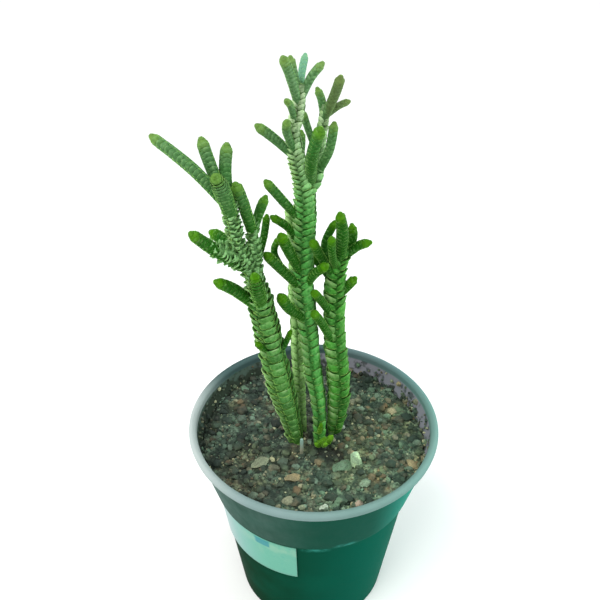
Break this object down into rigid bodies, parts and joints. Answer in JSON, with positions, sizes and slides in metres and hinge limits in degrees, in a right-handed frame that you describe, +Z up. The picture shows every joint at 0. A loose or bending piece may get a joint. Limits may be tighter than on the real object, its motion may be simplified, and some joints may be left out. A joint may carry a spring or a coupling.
{
  "type": "potted watch chain crassula",
  "caption": "Succulent with upright chain-like stems of scale leaves in four rows, rooted in gritty soil in a round tapered nursery pot.",
  "frame": {"origin": "centre of the pot's base, on the surface that it stands on", "axes": "+Z up along the pot's axis, -Y towards the viewer, +X to the viewer's right"},
  "size_m": [0.09, 0.09, 0.215],
  "materials": {
    "pot_plastic": "injection moulded polypropylene, dark green, dusty",
    "soil": "crumbly potting mix with grit",
    "label_paper": "plain coated paper, pale mint, with a teal block",
    "leafy_stem": "fleshy green scale leaves with pale edges, satin",
    "dry_stem": "dry bare stem"
  },
  "bodies": {
    "root": {"pot": "pot_plastic", "soil": "soil", "label": "label_paper", "stem_left": "leafy_stem", "stem_back": "leafy_stem", "stem_centre": "leafy_stem", "stem_right": "leafy_stem", "old_stem_stub": "dry_stem"}
  },
  "joints": []
}
